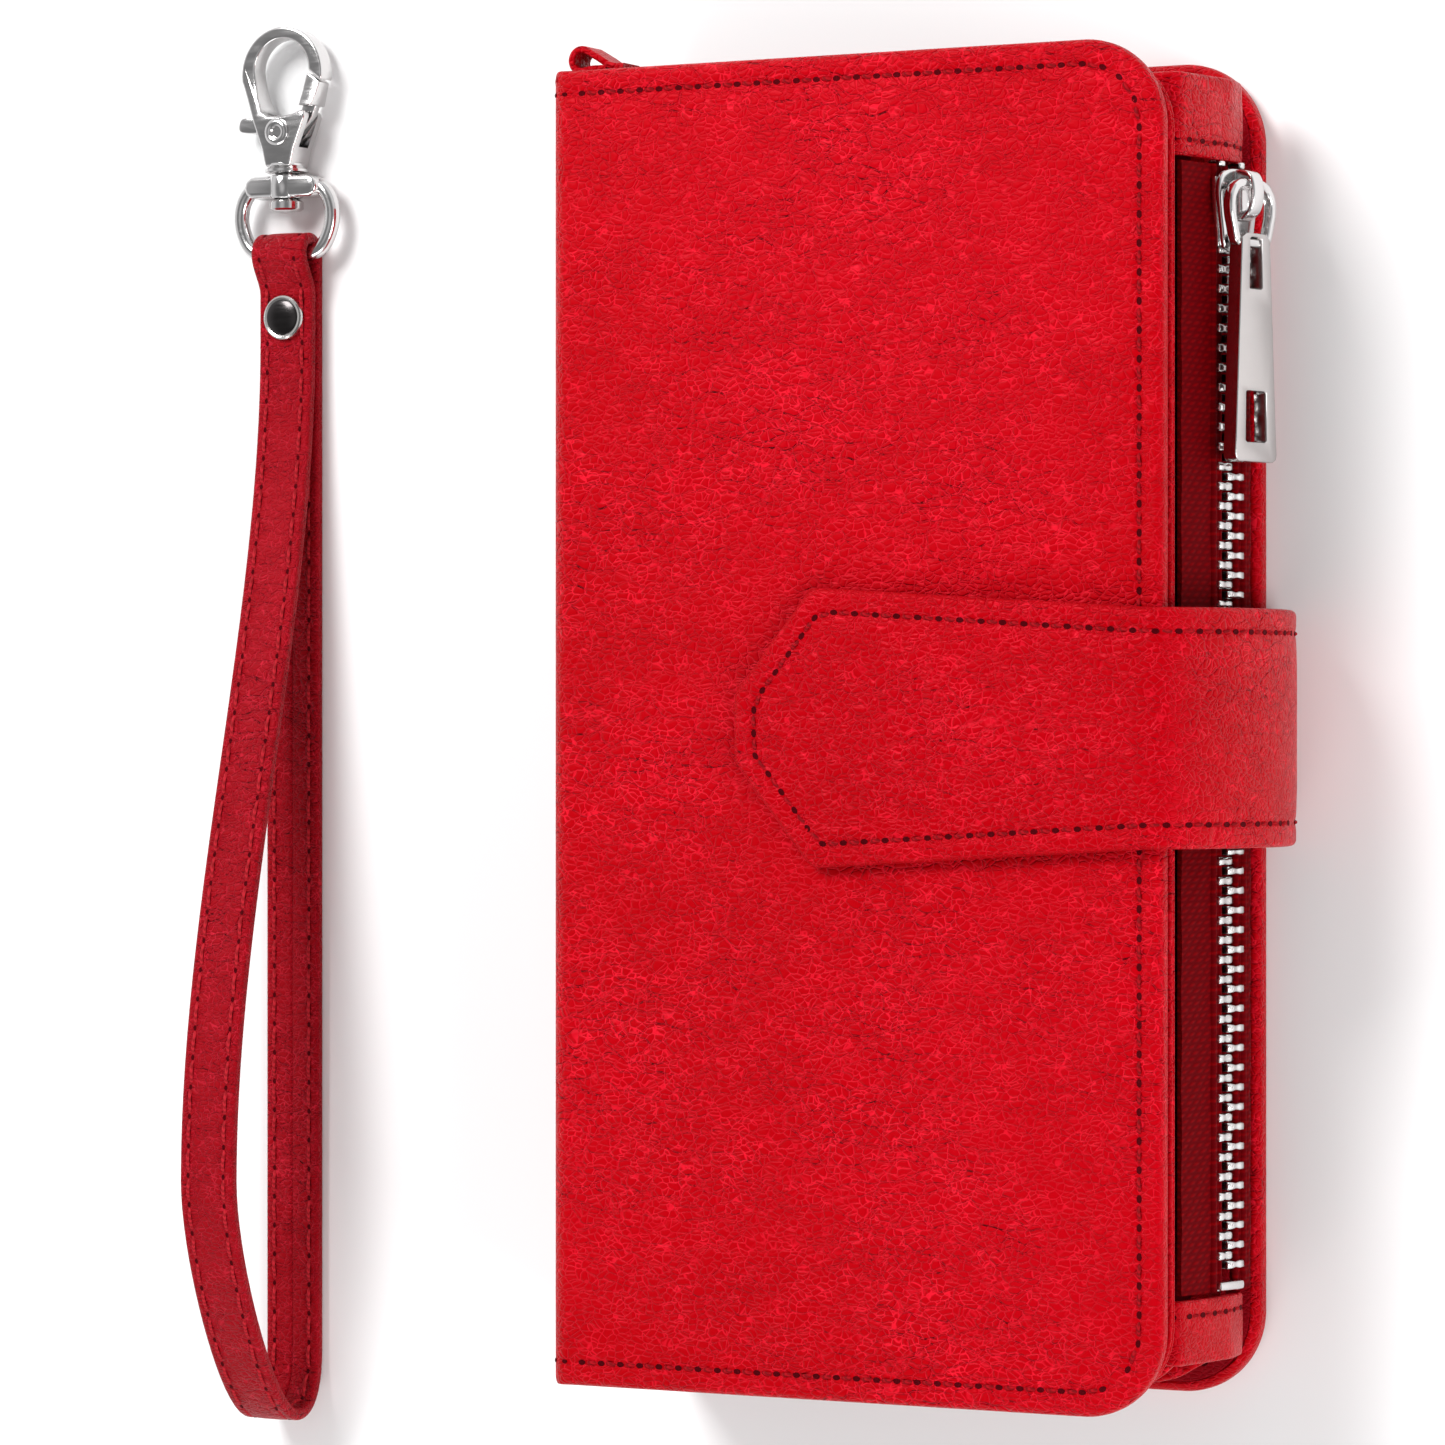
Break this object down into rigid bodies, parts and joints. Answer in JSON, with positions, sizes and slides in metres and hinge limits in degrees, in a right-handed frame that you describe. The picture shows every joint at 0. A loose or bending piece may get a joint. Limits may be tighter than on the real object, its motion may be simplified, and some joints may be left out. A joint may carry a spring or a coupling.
{
  "type": "phone wallet case",
  "caption": "Red leather folio case with a zipped coin pouch, wrap-round closure strap and a detached wrist strap with a swivel lever hook.",
  "frame": {"origin": "centre of the back cover's underside, the face the shut case lies on", "axes": "+X from the spine to the fore edge with the zip, +Y along the spine to the top end, +Z out of the front cover"},
  "size_m": [0.1577, 0.1875, 0.0353],
  "materials": {
    "red_leather": "fine grained, semi-gloss",
    "dark_lining": "smooth, satin",
    "pouch_cloth": "plain weave",
    "zip_cloth": "herringbone tape",
    "greyboard": "raw board",
    "soft_tray": "satin",
    "zip_metal": "polished",
    "bright_nickel": "polished",
    "spring_steel": "satin",
    "dark_rivet": "polished dark nickel"
  },
  "bodies": {
    "back_half": {"back_leather": "red_leather", "back_board": "greyboard", "back_lining": "dark_lining", "tray_pad": "soft_tray", "phone_tray": "soft_tray", "spine_leather": "red_leather", "spine_board": "greyboard", "spine_lining": "dark_lining", "lanyard_loop": "red_leather"},
    "front_cover": {"cover_leather": "red_leather", "cover_board": "greyboard", "cover_lining": "dark_lining", "cover_keeper": "spring_steel", "card_pocket_deep": "dark_lining", "card_pocket_mid": "dark_lining", "card_pocket_front": "dark_lining"},
    "middle_leaf": {"leaf_front_skin": "red_leather", "leaf_back_skin": "red_leather"},
    "zip_pouch": {"pouch_front_wall": "red_leather", "pouch_back_wall": "red_leather", "pouch_spine_wall": "red_leather", "pouch_gusset_top": "pouch_cloth", "pouch_gusset_bottom": "pouch_cloth", "pouch_lining": "pouch_cloth", "zip_tape_front": "zip_cloth", "zip_tape_back": "zip_cloth", "zip_teeth_front": "zip_metal", "zip_teeth_back": "zip_metal", "zip_top_stops": "zip_metal", "zip_bottom_stop": "zip_metal", "zip_end_tab_top": "red_leather", "zip_end_tab_bottom": "red_leather"},
    "zip_slider": {"slider_body": "bright_nickel", "slider_crown": "bright_nickel"},
    "zip_link": {"pull_link": "bright_nickel"},
    "zip_pull": {"pull_plate": "bright_nickel"},
    "strap_side": {"strap_side_leather": "red_leather", "strap_side_lining": "dark_lining"},
    "strap_tip": {"strap_tip_leather": "red_leather", "strap_tip_lining": "dark_lining", "strap_magnet": "spring_steel"},
    "wrist_band": {"band_leather": "red_leather", "band_lining": "dark_lining", "rivet_cap": "dark_rivet", "rivet_post": "dark_rivet"},
    "swivel_ring": {"swivel_ring": "bright_nickel"},
    "hook": {"swivel_post": "bright_nickel", "hook_body": "bright_nickel", "gate_pin": "bright_nickel", "gate_spring": "spring_steel"},
    "gate": {"gate_lever": "bright_nickel"}
  },
  "joints": [
    {"name": "cover_fold", "type": "hinge", "parent": "back_half", "child": "front_cover", "pos_m": [-0.042, 0, 0.033], "axis": [0, -1, 0], "range_deg": [0, 170], "deforming": ["strap_side_leather", "strap_side_lining", "strap_tip_leather", "strap_tip_lining", "strap_magnet"]},
    {"name": "leaf_fold", "type": "hinge", "parent": "back_half", "child": "middle_leaf", "pos_m": [-0.0391, 0, 0.02895], "axis": [0, -1, 0], "range_deg": [0, 86]},
    {"name": "pouch_fold", "type": "hinge", "parent": "back_half", "child": "zip_pouch", "pos_m": [-0.0391, 0, 0.02725], "axis": [0, -1, 0], "range_deg": [0, 43]},
    {"name": "zip_slide", "type": "slide", "parent": "zip_pouch", "child": "zip_slider", "axis": [0, -1, 0], "range_m": [0, 0.124], "deforming": ["zip_teeth_front", "zip_teeth_back"]},
    {"name": "link_swing", "type": "hinge", "parent": "zip_slider", "child": "zip_link", "pos_m": [0.04522, 0.0659, 0.01373], "axis": [-0.2079, 0, 0.9781], "range_deg": [0, 110]},
    {"name": "plate_swing", "type": "hinge", "parent": "zip_link", "child": "zip_pull", "pos_m": [0.04522, 0.0589, 0.01373], "axis": [-0.2079, 0, 0.9781], "range_deg": [0, 60]},
    {"name": "strap_fold", "type": "hinge", "parent": "back_half", "child": "strap_side", "pos_m": [0.0443, 0, 0.0004], "axis": [0, 1, 0], "range_deg": [0, 60]},
    {"name": "strap_tip_fold", "type": "hinge", "parent": "strap_side", "child": "strap_tip", "pos_m": [0.0443, 0, 0.033], "axis": [0, 1, 0], "range_deg": [0, 60]},
    {"name": "wrist_slide", "type": "slide", "parent": "back_half", "child": "wrist_band", "axis": [-1, 0, 0], "range_m": [0, 0.05]},
    {"name": "ring_swing", "type": "hinge", "parent": "wrist_band", "child": "swivel_ring", "pos_m": [-0.0999, 0.0639, 0.0028], "axis": [1, 0, 0], "range_deg": [0, 80]},
    {"name": "hook_swivel", "type": "hinge", "parent": "swivel_ring", "child": "hook", "pos_m": [-0.0999, 0.0747, 0.0028], "axis": [0, 1, 0], "continuous": true},
    {"name": "gate_press", "type": "hinge", "parent": "hook", "child": "gate", "pos_m": [-0.0999, 0.0802, 0.0028], "axis": [0, 0, 1], "range_deg": [0, 25], "stiffness_Nm_per_rad": 0.01, "springref_deg": -20.05, "deforming": ["gate_spring"]}
  ],
  "couplings": [
    {"joint": "leaf_fold", "follows": "cover_fold", "ratio": 0.5},
    {"joint": "pouch_fold", "follows": "cover_fold", "ratio": 0.25},
    {"joint": "strap_tip_fold", "follows": "strap_fold", "ratio": 1}
  ]
}
